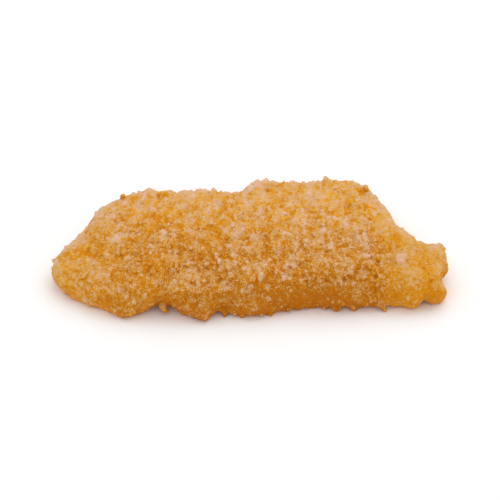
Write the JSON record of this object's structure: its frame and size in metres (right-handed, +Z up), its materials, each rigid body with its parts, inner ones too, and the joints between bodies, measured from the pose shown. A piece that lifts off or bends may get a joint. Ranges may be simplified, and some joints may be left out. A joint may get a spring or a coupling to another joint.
{
  "type": "breaded fish fillet",
  "caption": "Natural-cut fish fillet in a coarse crumb coat, with a rounded nose and a narrow tail tab, lying flat as served or stored frozen.",
  "frame": {"origin": "on the surface that the fillet lies on, under the middle of its bounding box", "axes": "+X from the rounded nose to the narrow tail tab, +Y from the long front edge to the back edge, +Z up"},
  "size_m": [0.151, 0.0784, 0.02],
  "materials": {
    "crumb_coat": "rough, dry, pale golden breadcrumb coat with a light frost"
  },
  "bodies": {
    "root": {"breaded_fillet": "crumb_coat"}
  },
  "joints": []
}
